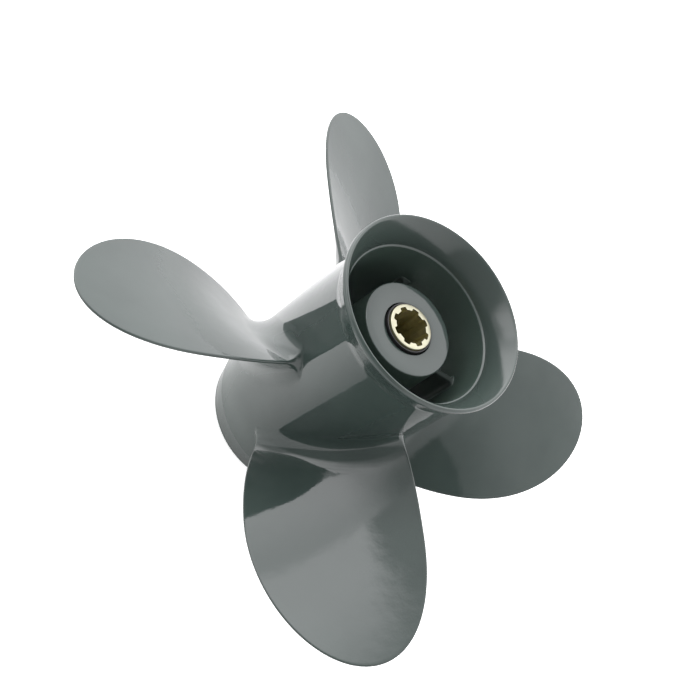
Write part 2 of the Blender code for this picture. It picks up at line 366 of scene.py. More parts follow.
def blade_grid():
    """Two faces of a blade, joined along the rim."""
    bm = bmesh.new()
    rows = ROOT_STEPS + TIP_STEPS
    bmesh.ops.create_grid(bm, x_segments=ACROSS_STEPS, y_segments=rows, size=1)
    forward = list(bm.verts)
    grown = bmesh.ops.extrude_face_region(bm, geom=list(bm.faces), use_keep_orig=True)
    aft = {v for v in grown["geom"] if isinstance(v, bmesh.types.BMVert)}
    for verts, is_forward in ((forward, True), (aft, False)):
        for vert in verts:
            vert.co = blade_point(vert.co.x, round((vert.co.y + 1) / 2 * rows), is_forward)
    bmesh.ops.recalc_face_normals(bm, faces=bm.faces)
    rim_faces = [f for f in bm.faces if 0 < len(aft.intersection(f.verts)) < 4]
    foot = BARREL_RADIUS - FOOT_DEPTH + RING_TOLERANCE
    edges = [e for f in rim_faces for e in f.edges
             if len(aft.intersection(e.verts)) != 1
             and not all(v.co.xy.length < foot for v in e.verts)]
    bmesh.ops.bevel(bm, geom=edges, offset=RIM_ROUNDING, segments=RIM_SEGMENTS, profile=0.5,
                    affect="EDGES", material=-1)
    return bm


blade = blade_grid()
print("one blade has", len(blade.faces), "faces")

# %% [markdown]
# ## Root fillets
# Where two walls of a casting meet, the mould leaves a round fillet. A Boolean union and a bevel
# of its seam is the usual way, but the bevel breaks on a curved seam. Here the foot of the blade
# is spread instead: near the barrel each point moves out along the surface normal by as much as
# a quarter circle stands off a wall at that height. Beyond the thin ends of the foot the fillet
# reaches a quarter as far, as there the mould parts. The last row dips just under the barrel.

# %% How far a fillet stands off


def fillet_growth(above, radius, spread):
    """How far a fillet of this radius stands off the wall at this height above the floor."""
    if above >= radius:
        return 0.0
    if above < 0:
        return radius + spread
    return radius - math.sqrt(radius ** 2 - (radius - above) ** 2)


for above in (0, 2, 5):
    print("height and growth mm:", above,
          round(fillet_growth(above * MM, FILLET_RADIUS, 0) / MM, 2))

# %% Spread a foot
END_REACH = 0.25


def spread_foot(bm, above, along, radius_at, spread):
    """Move the points near a carrying surface outwards, as a fillet does."""
    bm.normal_update()
    moves = []
    for vert in bm.verts:
        growth = fillet_growth(above(vert.co), radius_at(vert.co), spread)
        if growth > 0:
            outward = Vector((vert.co.x, vert.co.y, 0)).normalized()
            side = vert.normal - vert.normal.dot(outward) * outward
            move = side.normalized() * growth
            chord = along(vert.co)
            moves.append((vert, move - (1 - END_REACH) * move.dot(chord) * chord))
    for vert, move in moves:
        distance = vert.co.xy.length
        outward = Vector((vert.co.x, vert.co.y, 0)) / distance
        sideways = Vector((-outward.y, outward.x, 0)).dot(move)
        angle = math.atan2(vert.co.y, vert.co.x) + sideways / distance
        vert.co = Vector((distance * math.cos(angle), distance * math.sin(angle),
                          vert.co.z + move.z))
    return len(moves)


# %% [markdown]
# ## A fillet that tapers along the chord
# The fillet keeps its width along most of the blade and is a quarter narrower at the two edges,
# where the blade itself is thin. Weights painted on the foot could tell where it narrows. Here
# the place along the chord is worked out, by laying the barrel out flat and measuring along the
# helix from the middle of the blade, so both edges come out alike.

# %% Along the chord of a blade
END_THINNING = 0.25
END_POWER = 3


def helix(place):
    """Direction of a blade's chord at a place."""
    return Vector((-place.y, place.x, RISE)) / math.hypot(place.xy.length, RISE)


def chord_share(place):
    """0 in the middle of the chord and 1 at its ends."""
    radius = place.xy.length
    slope = math.atan2(RISE, radius)
    turn, height = middle(radius)
    along = ((math.atan2(place.y, place.x) - turn) * radius * math.cos(slope)
             + (place.z - height) * math.sin(slope))
    share = (CHORD_MAX_RADIUS - radius) / CHORD_INNER_REACH
    return min(1.0, abs(along) / (CHORD_MAX / 2 * math.sqrt(1 - share ** 2)))


def blade_fillet(place):
    """Radius of a blade's fillet at a place on the blade."""
    return FILLET_RADIUS * (1 - END_THINNING * chord_share(place) ** END_POWER)


moved = spread_foot(blade, lambda place: place.xy.length - BARREL_RADIUS, helix,
                    blade_fillet, FOOT_SPREAD)
print("points moved for one fillet:", moved)

# %% [markdown]
# ## The foot on the tapered nose
# The leading end of a blade's foot reaches forward onto the taper of the nose, which is a little
# slimmer than the barrel. A Shrinkwrap modifier could press the foot down. Lowering each point
# by as much as the barrel has slimmed there is exact, and keeps the fillet's form.

# %% Lower the foot where the barrel is slimmer
NOSE_TAPER = (BARREL_RADIUS - NOSE_SHOULDER[0]) / (BARREL_START - NOSE_SHOULDER[1])


def barrel_drop(height):
    """How much slimmer the hub is at a height than its barrel is."""
    below = BARREL_START - height
    if below < -BARREL_ROUNDING:
        return 0.0
    if below < BARREL_ROUNDING:
        return NOSE_TAPER * (below + BARREL_ROUNDING) ** 2 / (4 * BARREL_ROUNDING)
    return NOSE_TAPER * below


deepest = 0.0
for vert in blade.verts:
    if vert.co.xy.length < BARREL_RADIUS + FILLET_RADIUS:
        drop = barrel_drop(vert.co.z)
        deepest = max(deepest, drop)
        vert.co -= drop * Vector((vert.co.x, vert.co.y, 0)).normalized()
print("deepest drop mm:", round(deepest / MM, 2))

# %% [markdown]
# ## Four blades
# The blades come from one pattern and differ in nothing but their place. Array modifiers and
# linked copies are the usual ways to repeat a shape. A copy of the bmesh, rotated about the
# shaft axis, leaves each blade with its own mesh and its object unturned at the origin.

# %% Four blades
BLADE_COUNT = 4
for number in range(1, BLADE_COUNT + 1):
    copy = blade.copy()
    turn = math.tau * (number - 1) / BLADE_COUNT
    bmesh.ops.rotate(copy, cent=(0, 0, 0), matrix=Matrix.Rotation(turn, 3, "Z"),
                     verts=copy.verts)
    add_piece(f"blade_{number}_casting", copy, "paint", f"blade_{number}")
blade.free()

# %% [markdown]
# ## Inner hub
# The inner hub is a thick tube with a turned end face. Its bore has a lip at the aft end that
# keeps the rubber bush from being pushed out, so only a narrow dark ring of rubber shows. It is
# turned like the outer hub, and slimmer at its aft end, as a casting has to be to leave its mould.

# %% Inner hub
INNER_RADIUS, INNER_FRONT, INNER_AFT = sizes("inner_hub")
INNER_RADIUS_AFT = 19.0 * MM
BUSH_BORE_RADIUS = 14.6 * MM
BUSH_LIP_RADIUS = 10.45 * MM
BUSH_LIP_HEIGHT = 4 * MM
BUSH_LIP_ROUNDING = 0.3 * MM
HIDDEN_END_ROUNDING = 0.8 * MM

inner = turned([(INNER_RADIUS_AFT, INNER_AFT), (INNER_RADIUS, INNER_FRONT),
                (BUSH_BORE_RADIUS, INNER_FRONT), (BUSH_BORE_RADIUS, INNER_AFT - BUSH_LIP_HEIGHT),
                (BUSH_LIP_RADIUS, INNER_AFT - BUSH_LIP_HEIGHT), (BUSH_LIP_RADIUS, INNER_AFT)])
round_ring(inner, INNER_RADIUS_AFT, INNER_AFT, CORNER_ROUNDING)
round_ring(inner, INNER_RADIUS, INNER_FRONT, HIDDEN_END_ROUNDING)
round_ring(inner, BUSH_BORE_RADIUS, INNER_FRONT, CORNER_ROUNDING)
round_ring(inner, BUSH_LIP_RADIUS, INNER_AFT, BUSH_LIP_ROUNDING)
add_piece("inner_hub_casting", inner, "paint", "inner_hub")

# %% Walls of the exhaust passage


def inner_hub_radius(height):
    """Outside radius of the inner hub, which tapers all the way."""
    share = (INNER_AFT - height) / (INNER_AFT - INNER_FRONT)
    return INNER_RADIUS_AFT + share * (INNER_RADIUS - INNER_RADIUS_AFT)


def bore_radius(height):
    """Radius of the outer hub's bore behind its front end."""
    share = (height - BORE_MID[1]) / (BORE_AFT[1] - BORE_MID[1])
    return BORE_MID[0] + share * (BORE_AFT[0] - BORE_MID[0])


print("passage mm:", round((bore_radius(50 * MM) - inner_hub_radius(50 * MM)) / MM, 1))

# %% [markdown]
# ## Ribs
# Four webs stand across the exhaust passage and carry the inner hub. A cube is the plainest
# start: it is flattened, its four long edges are rounded, it is cut into rows, and it is then
# stretched from the inner hub to the bore, and thinned towards its aft edge, where the mould
# pulls away. Both ends get the same kind of fillet as the blades.

# %% A flat block cut into rows
# The block is one unit wide at first, so an edge over half a unit long runs right across it.
RIB_COUNT = 4
RIB_THICKNESS = 5 * MM
RIB_THINNING = 0.5
RIB_AFT = 81 * MM
RIB_FRONT = 14 * MM
RIB_TURN = math.radians(-6)
RIB_ROUNDING = 1.1 * MM
RIB_SEGMENTS = 5
RIB_FILLET = 2 * MM
RIB_FOOT = 0.8 * MM
RIB_ROWS = 23
RIB_HALVINGS = 4
LONG_EDGE = 0.5
LONG_STEP = 6 * MM


def edges_along(bm, axis, length):
    """Edges that run further than a length along an axis."""
    return [e for e in bm.edges if abs((e.verts[0].co - e.verts[1].co)[axis]) > length]


def rib_grid():
    """A block of unit size, rounded along its aft and forward edges and cut into rows."""
    bm = bmesh.new()
    bmesh.ops.create_cube(bm, size=1)
    bmesh.ops.scale(bm, vec=(1, RIB_THICKNESS, RIB_AFT - RIB_FRONT), verts=bm.verts)
    bmesh.ops.bevel(bm, geom=edges_along(bm, 0, LONG_EDGE), offset=RIB_ROUNDING,
                    segments=RIB_SEGMENTS, profile=0.5, affect="EDGES", material=-1)
    bmesh.ops.subdivide_edges(bm, edges=edges_along(bm, 0, LONG_EDGE), cuts=RIB_ROWS,
                              use_grid_fill=True)
    for _ in range(RIB_HALVINGS):
        bmesh.ops.subdivide_edges(bm, edges=edges_along(bm, 2, LONG_STEP), cuts=1,
                                  use_grid_fill=True)
    bmesh.ops.translate(bm, vec=(0.5, 0, (RIB_AFT + RIB_FRONT) / 2), verts=bm.verts)
    return bm


rib = rib_grid()
print("one rib has", len(rib.faces), "faces")

# %% Stretch the rib across the passage
# The cosine crowds the rows together at both ends, where the fillets are.
for vert in rib.verts:
    share = 0.5 - 0.5 * math.cos(math.pi * vert.co.x)
    start = inner_hub_radius(vert.co.z) - RIB_FOOT
    end = bore_radius(vert.co.z) + RIB_FOOT
    vert.co.x = start + (end - start) * share
    vert.co.y *= 1 - RIB_THINNING * (vert.co.z - RIB_FRONT) / (RIB_AFT - RIB_FRONT)
spread_foot(rib, lambda place: min(place.xy.length - inner_hub_radius(place.z),
                                   bore_radius(place.z) - place.xy.length),
            lambda place: Vector((0, 0, 1)), lambda place: RIB_FILLET, 0)
print("rib runs from", round(min(v.co.x for v in rib.verts) / MM, 1), "mm to",
      round(max(v.co.x for v in rib.verts) / MM, 1))

# %% Four ribs
for number in range(1, RIB_COUNT + 1):
    copy = rib.copy()
    turn = RIB_TURN + math.tau * (number - 1) / RIB_COUNT
    bmesh.ops.rotate(copy, cent=(0, 0, 0), matrix=Matrix.Rotation(turn, 3, "Z"),
                     verts=copy.verts)
    add_piece(f"rib_{number}_casting", copy, "paint", f"rib_{number}")
rib.free()

# %% [markdown]
# ## Rubber bush
# The rubber takes up the shock when a blade strikes something. It fills the inner hub behind the
# lip, and a thin collar of it runs up the sleeve nearly to the brass face, which is what shows as
# a black ring. It is one more turned profile, with the collar's end rounded.

# %% Rubber bush
BUSH_RADIUS, BUSH_FRONT, COLLAR_AFT = sizes("rubber_bush")
SLEEVE_RADIUS, SLEEVE_FRONT, SLEEVE_AFT = sizes("splined_sleeve")
BUSH_GAP = 0.3 * MM
BUSH_INNER_RADIUS = SLEEVE_RADIUS + BUSH_GAP
BUSH_SHOULDER = INNER_AFT - BUSH_LIP_HEIGHT - BUSH_GAP
COLLAR_RADIUS = 10.0 * MM
COLLAR_ROUNDING = 0.2 * MM

bush = turned([(COLLAR_RADIUS, COLLAR_AFT), (COLLAR_RADIUS, BUSH_SHOULDER),
               (BUSH_RADIUS, BUSH_SHOULDER), (BUSH_RADIUS, BUSH_FRONT),
               (BUSH_INNER_RADIUS, BUSH_FRONT), (BUSH_INNER_RADIUS, COLLAR_AFT)])
round_ring(bush, COLLAR_RADIUS, COLLAR_AFT, COLLAR_ROUNDING)
round_ring(bush, BUSH_RADIUS, BUSH_FRONT, HIDDEN_END_ROUNDING)
add_piece("rubber_bush_ring", bush, "rubber", "rubber_bush")

# %% [markdown]
# ## Splined sleeve
# The brass sleeve is broached with eight teeth that fit the propeller shaft. Its end face is
# the ring between two circles with the same number of points: the inner one is drawn in to the
# teeth, the two are bridged, and the ring is extruded along the shaft. Cutting the grooves with
# a Boolean would work too, but would leave long thin triangles on the face.

# %% Form of the teeth
SPLINE_TEETH = 8
SPLINE_TIP_RADIUS = 6.75 * MM
SPLINE_ROOT_RADIUS = 7.9 * MM
SPLINE_TURN = math.radians(15.5)
POINTS_PER_TOOTH = 24
FLANK_SHARPNESS = 4.0


def tooth_radius(angle):
    """Radius of the bore: flat tops and roots joined by steep flanks."""
    wave = math.cos(SPLINE_TEETH * (angle - SPLINE_TURN))
    share = min(1.0, max(0.0, 0.5 + FLANK_SHARPNESS * wave / 2))
    share = share * share * (3 - 2 * share)
    return SPLINE_ROOT_RADIUS + (SPLINE_TIP_RADIUS - SPLINE_ROOT_RADIUS) * share


print("bore over the teeth mm:", round(2 * tooth_radius(SPLINE_TURN) / MM, 2))

# %% Splined sleeve
SLEEVE_CHAMFER = 0.45 * MM

sleeve = bmesh.new()
count = SPLINE_TEETH * POINTS_PER_TOOTH
bmesh.ops.create_circle(sleeve, segments=count, radius=SLEEVE_RADIUS)
inside = bmesh.ops.create_circle(sleeve, segments=count, radius=SPLINE_ROOT_RADIUS)["verts"]
for vert in inside:
    angle = math.atan2(vert.co.y, vert.co.x)
    vert.co = Vector((math.cos(angle), math.sin(angle), 0)) * tooth_radius(angle)
bmesh.ops.bridge_loops(sleeve, edges=list(sleeve.edges))
grown = bmesh.ops.extrude_face_region(sleeve, geom=list(sleeve.faces), use_keep_orig=True)
top = [v for v in grown["geom"] if isinstance(v, bmesh.types.BMVert)]
bmesh.ops.translate(sleeve, vec=(0, 0, SLEEVE_AFT - SLEEVE_FRONT), verts=top)
bmesh.ops.translate(sleeve, vec=(0, 0, SLEEVE_FRONT), verts=sleeve.verts)
bmesh.ops.recalc_face_normals(sleeve, faces=sleeve.faces)
round_ring(sleeve, SLEEVE_RADIUS, SLEEVE_AFT, SLEEVE_CHAMFER, FEW_SEGMENTS)
round_ring(sleeve, SLEEVE_RADIUS, SLEEVE_FRONT, SLEEVE_CHAMFER, FEW_SEGMENTS)
add_piece("splined_sleeve_turned", sleeve, "brass", "splined_sleeve")

# %% [markdown]
# ## Shader maths
# A finish is a handful of masks added and multiplied together. Wiring Math nodes by hand hides
# that, so a small class wraps a socket and lets the sums be written as sums.

# %% A socket that can be added and multiplied


class Shade:
    """A socket of a node tree. Arithmetic on it adds the Math nodes."""

    def __init__(self, tree, socket=None):
        self.tree = tree
        self.socket = socket

    def node(self, kind, settings=None, inputs=None, output=0):
        """Add a node: its settings first, then the values or links of its sockets."""
        node = self.tree.nodes.new(kind)
        for name, value in (settings or {}).items():
            if name == "stops":
                place_stops(node.color_ramp, value)
            else:
                setattr(node, name, value)
        for name, value in (inputs or {}).items():
            if isinstance(value, Shade):
                self.tree.links.new(value.socket, node.inputs[name])
            else:
                node.inputs[name].default_value = value
        return Shade(self.tree, node.outputs[output])

    def maths(self, operation, first, second=0.0):
        """Add a Math node."""
        return self.node("ShaderNodeMath", {"operation": operation}, {0: first, 1: second})

    def __add__(self, other):
        return self.maths("ADD", self, other)

    def __radd__(self, other):
        return self.maths("ADD", other, self)

    def __sub__(self, other):
        return self.maths("SUBTRACT", self, other)

    def __rsub__(self, other):
        return self.maths("SUBTRACT", other, self)

    def __mul__(self, other):
        return self.maths("MULTIPLY", self, other)

    def __rmul__(self, other):
        return self.maths("MULTIPLY", other, self)

    def __truediv__(self, other):
        return self.maths("DIVIDE", self, other)

    def dot(self, direction):
        """How far a vector runs along a direction."""
        return self.node("ShaderNodeVectorMath", {"operation": "DOT_PRODUCT"},
                         {0: self, 1: direction}, output="Value")

    def rise(self, low, high):
        """0 below low, 1 above high, and a smooth step between."""
        return self.node("ShaderNodeMapRange", {"interpolation_type": "SMOOTHSTEP"},
                         {"Value": self, "From Min": low, "From Max": high})

    def band(self, start, end):
        """1 between two edges. Each edge is given as the low and the high of its step."""
        return self.rise(*start) * (1 - self.rise(*end))


# %% Stops of a ramp


def place_stops(ramp, stops):
    """Give a ramp its stops, each a place and a shade of grey, eased from one to the next."""
    ramp.interpolation = "EASE"
    while len(ramp.elements) > 1:
        ramp.elements.remove(ramp.elements[-1])
    for number, (place, grey) in enumerate(stops):
        element = ramp.elements.new(place) if number else ramp.elements[0]
        element.position = place
        element.color = (grey, grey, grey, 1)


# %% [markdown]
# ## Helpers for finishes
# Every finish starts from the Principled shader, which suits paint, rubber and metal alike.
# Patterns could be painted on an unwrapped image. Noise on object coordinates needs no
# unwrapping, stays at its true size in metres, and fits every piece of the casting at once.

# %% Helpers for finishes


def new_material(name):
    """A material, and a Shade that adds nodes to it."""
    material = bpy.data.materials.new(name)
    material.use_nodes = True
    return material, Shade(material.node_tree)


def object_place(shade):
    """Place of a point in the object's own metres."""
    return shade.node("ShaderNodeTexCoord", output="Object")


def noise(shade, scale, detail):
    """Noise on object coordinates, mostly between 0.25 and 0.75."""
    return shade.node("ShaderNodeTexNoise", {"noise_dimensions": "3D"},
                      {"Vector": object_place(shade), "Scale": scale, "Detail": detail})


def blend_colour(shade, share, low, high):
    """Mix two colours by a mask."""
    return shade.node("ShaderNodeMix", {"data_type": "RGBA"},
                      {"Factor": share, 6: low, 7: high}, output=2)


def bump(shade, height):
    """Turn a height in metres into a normal."""
    return shade.node("ShaderNodeBump", inputs={"Height": height, "Distance": 1.0})


# %% Places round the shaft


def shaft_radius(shade):
    """Distance from the shaft axis."""
    flat = shade.node("ShaderNodeMapping", inputs={"Vector": object_place(shade),
                                                   "Scale": (1, 1, 0)})
    return shade.node("ShaderNodeVectorMath", {"operation": "LENGTH"}, {0: flat},
                      output="Value")


def shaft_height(shade):
    """Height along the shaft axis."""
    return object_place(shade).dot((0, 0, 1))


# %% Dress the pieces


def finish(material, inputs):
    """Feed the Principled shader: values set on its sockets, masks linked to them."""
    shader = material.node_tree.nodes["Principled BSDF"]
    for name, value in inputs.items():
        if isinstance(value, Shade):
            material.node_tree.links.new(value.socket, shader.inputs[name])
        else:
            shader.inputs[name].default_value = value


def dress(material, ending):
    """Give a material to every piece whose name has this ending."""
    pieces = [obj for obj in bpy.data.objects if obj.name.endswith(ending)]
    for piece in pieces:
        piece.data.materials.append(material)
    print(material.name, "is on", len(pieces), "pieces")


# %% [markdown]
# ## Paint
# The casting is sprayed with a dark grey-green gloss. What is seen is mostly what it reflects,
# so the reflection has to be a little uneven, as on a real casting: long waves from the die,
# a fine orange peel from the spray, and a colour that isn't quite the same all over. Inside the
# exhaust passage the spray hardly reaches, so the casting there is rougher and duller. The ribs
# are darker still, and that is painted shade, as they stand deep in the passage. The inner hub's
# end face and the bell of the flare do get the spray, but the bell isn't quite so glossy, and its
# colour is painted light: lighter, to lift the shaded inside of the flare. The waves could be
# modelled. As they are a tenth of a millimetre high at most, they are bump instead.

# %% Where the paint is dull, and where the ribs get painted shade
# Each edge of a mask is a pair: where it starts to rise, and where it is full.
BORE_EDGE = (31.5 * MM, 31.9 * MM)
STEP_EDGE = (97.9 * MM, 98.3 * MM)
END_FACE_EDGE = (91.9 * MM, 92.4 * MM)
END_FACE_RIM = (18.7 * MM, 19.1 * MM)
PASSAGE_INNER_EDGE = (20.3 * MM, 21.3 * MM)
PASSAGE_OUTER_EDGE = (30.7 * MM, 31.0 * MM)

paint, shade = new_material("gloss_grey_paint")
radius = shaft_radius(shade)
height = shaft_height(shade)
within_bore = 1 - radius.rise(*BORE_EDGE)
below_step = 1 - height.rise(*STEP_EDGE)
on_end_face = height.rise(*END_FACE_EDGE) * (1 - radius.rise(*END_FACE_RIM))
dull = within_bore * below_step * (1 - on_end_face)
# on_rib carries the ribs' painted shade as well as their rougher finish.
on_rib = radius.band(PASSAGE_INNER_EDGE, PASSAGE_OUTER_EDGE)

# %% Where the flare is less glossy, and gets painted light
BELL_EDGE = (0.3 * MM, 0.8 * MM)

opened = shade.maths("MAXIMUM", (height - LEDGE[1]) / (HUB_LENGTH - LEDGE[1]), 0.0)
bell_radius = (LEDGE[0] + (LIP_RADIUS - LEDGE[0])
               * shade.maths("POWER", opened, BELL_POWER))
# in_bell carries the bell's painted light as well as its lower gloss.
in_bell = (1 - (radius - bell_radius).rise(*BELL_EDGE)) * (1 - below_step)

# %% Paint
PAINT_DARK = (0.031, 0.0445, 0.040, 1)
PAINT_LIGHT = (0.038, 0.0535, 0.048, 1)
DULL_COLOUR = (0.044, 0.067, 0.056, 1)
# The ribs' colour is painted shade: darker because they stand deep in the passage.
RIB_SHADE_COLOUR = (0.024, 0.036, 0.031, 1)
# The bell's colour is painted light: lighter than the spray, to lift the shaded inside of the
# flare.
BELL_LIGHTENED_COLOUR = (0.045, 0.0605, 0.0545, 1)
GLOSS_ROUGHNESS = 0.04
CLOUD_ROUGHNESS = 0.06
BELL_ROUGHNESS = 0.07
DULL_ROUGHNESS = 0.45
RIB_ROUGHNESS = 0.3
CLOUD_EDGE = (0.35, 0.65)
SWELL_HEIGHT = 0.22 * MM
WAVE_HEIGHT = 0.09 * MM
PEEL_HEIGHT = 0.008 * MM
GRIT_HEIGHT = 0.05 * MM

cloud = noise(shade, scale=28, detail=3)
spray = blend_colour(shade, cloud.rise(*CLOUD_EDGE), PAINT_DARK, PAINT_LIGHT)
# This holds the sprayed colour, with the bell's painted light in it.
gloss = blend_colour(shade, in_bell, spray, BELL_LIGHTENED_COLOUR)
# This holds the dull casting's colour, with the ribs' painted shade in it.
matt_with_rib_shade = blend_colour(shade, on_rib, DULL_COLOUR, RIB_SHADE_COLOUR)
colour = blend_colour(shade, dull, gloss, matt_with_rib_shade)
gloss_roughness = GLOSS_ROUGHNESS + CLOUD_ROUGHNESS * cloud + BELL_ROUGHNESS * in_bell
matt_roughness = DULL_ROUGHNESS + RIB_ROUGHNESS * on_rib
roughness = gloss_roughness * (1 - dull) + matt_roughness * dull
swell = noise(shade, scale=30, detail=1)
wave = noise(shade, scale=95, detail=2)
peel = noise(shade, scale=900, detail=1)
grit = noise(shade, scale=1600, detail=3) * dull
relief = (swell * SWELL_HEIGHT + wave * WAVE_HEIGHT
          + peel * PEEL_HEIGHT + grit * GRIT_HEIGHT)
finish(paint, {"Base Color": colour, "Roughness": roughness, "Normal": bump(shade, relief)})
dress(paint, "_casting")

# %% [markdown]
# ## Rubber
# Moulded rubber is nearly black and scatters light, with a fine grain and a faint bloom of grey.
# A plain black would look like a hole, so the grain drives colour, roughness and bump together.

# %% Rubber
RUBBER_DARK = (0.009, 0.009, 0.010, 1)
RUBBER_LIGHT = (0.022, 0.021, 0.022, 1)
RUBBER_ROUGHNESS = 0.42
GRAIN_ROUGHNESS = 0.2
GRAIN_HEIGHT = 0.02 * MM

rubber, shade = new_material("black_rubber")
grain = noise(shade, scale=1400, detail=2)
finish(rubber, {"Base Color": blend_colour(shade, grain, RUBBER_DARK, RUBBER_LIGHT),
                "Roughness": RUBBER_ROUGHNESS + GRAIN_ROUGHNESS * grain,
                "Normal": bump(shade, grain * GRAIN_HEIGHT)})
dress(rubber, "_ring")

# %% [markdown]
# ## Brass
# The sleeve's end face is turned, so it has fine rings, while its bore is broached and a little
# stained. The face's colour is a darker brass than the bore's, and that is painted shade: it holds
# down the bright light that the flat face catches. Anisotropy is one way to show turned rings.
# Rings of noise in the bump and roughness are another, and up close they can be told apart. Noise
# of one dimension, fed with the distance from the shaft axis, makes them.

# %% Brass
# The end face's colour is painted shade: the same brass, darker where the flat face catches bright
# light.
BRASS_FACE_PAINTED_SHADE = (0.395, 0.387, 0.290, 1)
BRASS_BORE = (0.60, 0.56, 0.33, 1)
BRASS_STAIN = (0.50, 0.45, 0.25, 1)
BRASS_ROUGHNESS = 0.42
TURNING_SMOOTHNESS = 0.12
RINGS_ROUGHNESS = 0.14
RINGS_HEIGHT = 0.004 * MM
RINGS_SCALE = 6000.0
STAIN_HEIGHT = 0.02 * MM
STAIN_EDGE = (0.45, 0.7)
FACE_EDGE = (SLEEVE_AFT - 0.5 * MM, SLEEVE_AFT - 0.2 * MM)

brass, shade = new_material("turned_brass")
rings = shade.node("ShaderNodeTexNoise", {"noise_dimensions": "1D"},
                   {"W": shaft_radius(shade), "Scale": RINGS_SCALE, "Detail": 2.0})
stain = noise(shade, scale=260, detail=3)
# on_face places the face's painted shade, its smoother turning and its rings.
on_face = shaft_height(shade).rise(*FACE_EDGE)
bore_colour = blend_colour(shade, stain.rise(*STAIN_EDGE), BRASS_BORE, BRASS_STAIN)
brass_relief = rings * on_face * RINGS_HEIGHT + stain * STAIN_HEIGHT
finish(brass, {"Base Color": blend_colour(shade, on_face, bore_colour, BRASS_FACE_PAINTED_SHADE),
               "Metallic": 1.0,
               "Roughness": (BRASS_ROUGHNESS - TURNING_SMOOTHNESS * on_face
                             + RINGS_ROUGHNESS * rings),
               "Normal": bump(shade, brass_relief)})
dress(brass, "_turned")

# %% [markdown]
# ## Floor
# The part stands on a white sweep. A product photographer lights such a ground until its shadows
# wash out. Here a faint glow, seen by the camera alone, does that, so that the gloss paint still
# mirrors an ordinary floor. That floor isn't even: a low lamp lights a pool on it just in front
# and spills to the left, it is dark under the part, and the part's own shadow falls on the other
# side. Far off, where it curves up into the tent's wall, it takes on some of the wall's light. A
# spot lamp would light the pool too, but it would also show on the part as a hard spark.
# A ring of light inside the front end does the work of the light that gets through the passage.

# %% Floor
FLOOR_SIZE = 4
FLOOR_GLOW = 0.7
FLOOR_COLOUR = (0.85, 0.85, 0.85, 1)
FLOOR_ROUGHNESS = 0.35
SHADE_COLOUR = (0.2, 0.2, 0.2, 1)
SHADE_PLACE = (60 * MM, 75 * MM, 0)
SHADE_REACH = (50 * MM, 170 * MM)
POOL_PLACE = (15 * MM, -62 * MM, 0)
POOL_REACH = (10 * MM, 85 * MM)
POOL_GLOW = 1.22
SPILL_PLACE = (-120 * MM, -170 * MM, 0)
SPILL_REACH = (50 * MM, 190 * MM)
SPILL_GLOW = 0.7
FAR_SIDE = (-0.743, 0.669, 0)
FAR_WIDTH = (0.82, 0.97)
FAR_REACH = (150 * MM, 600 * MM)
FAR_GLOW = 0.3
EVEN_GLOW = 0.22
DARK_REACH = (22 * MM, 48 * MM)
FRONT_START = (17 * MM, 20 * MM)
FRONT_END = (26 * MM, 30 * MM)
FRONT_GLOW = 18

bm = bmesh.new()
bmesh.ops.create_grid(bm, x_segments=1, y_segments=1, size=FLOOR_SIZE)
floor_mesh = bpy.data.meshes.new("white_sweep")
bm.to_mesh(floor_mesh)
bm.free()
floor = bpy.data.objects.new("white_sweep", floor_mesh)
bpy.context.scene.collection.objects.link(floor)
acrylic, shade = new_material("white_acrylic")
camera_ray = shade.node("ShaderNodeLightPath", output="Is Camera Ray")


def distance_from(shade, place):
    """Distance of a point of the floor from a place on it."""
    return shade.node("ShaderNodeVectorMath", {"operation": "DISTANCE"},
                      {0: object_place(shade), 1: place}, output="Value")


pool = 1 - distance_from(shade, POOL_PLACE).rise(*POOL_REACH)
spill = 1 - distance_from(shade, SPILL_PLACE).rise(*SPILL_REACH)
shadow = 1 - distance_from(shade, SHADE_PLACE).rise(*SHADE_REACH)
from_axis = distance_from(shade, (0, 0, 0))
clear = from_axis.rise(*DARK_REACH)
passage = from_axis.band(FRONT_START, FRONT_END)
towards_wall = (object_place(shade).dot(FAR_SIDE) / from_axis).rise(*FAR_WIDTH)
far = towards_wall * from_axis.rise(*FAR_REACH)
mirrored = pool * POOL_GLOW + spill * SPILL_GLOW + far * FAR_GLOW + EVEN_GLOW
mirrored = mirrored * clear + passage * FRONT_GLOW
finish(acrylic, {"Base Color": blend_colour(shade, shadow * (1 - camera_ray), FLOOR_COLOUR,
                                            SHADE_COLOUR),
                 "Roughness": FLOOR_ROUGHNESS,
                 "Emission Color": camera_ray * FLOOR_GLOW + (1 - camera_ray) * mirrored,
                 "Emission Strength": 1.0})
floor_mesh.materials.append(acrylic)
print("floor metres across:", 2 * FLOOR_SIZE)

# %% [markdown]
# ## Light tent
# A gloss part shows its surroundings, so the light is not a matter of lamps but of what stands
# round the part: a tent of white cloth, lit unevenly from outside. Area lamps and cloth planes
# could be modelled. A world shader draws the same dome with a few sums, costs no geometry, and
# lights every side softly. Places on the dome are given as azimuth and elevation in degrees.

# %% Directions on the dome
world = bpy.data.worlds.new("light_tent")
bpy.context.scene.world = world
world.use_nodes = True
dome = Shade(world.node_tree)
seen = dome.node("ShaderNodeTexCoord", output="Generated")
upwards = seen.dot((0, 0, 1))
elevation = dome.maths("ARCSINE", upwards) * math.degrees(1)


def direction(azimuth, lift=0.0):
    """Unit vector towards a place on the dome."""
    turn, lift = math.radians(azimuth), math.radians(lift)
    return Vector((math.cos(turn) * math.cos(lift), math.sin(turn) * math.cos(lift),
                   math.sin(lift)))


def turn_from(azimuth):
    """Degrees round from an azimuth, from -180 to 180."""
    return dome.maths("ARCTAN2", seen.dot(direction(azimuth + 90)),
                      seen.dot(direction(azimuth))) * math.degrees(1)


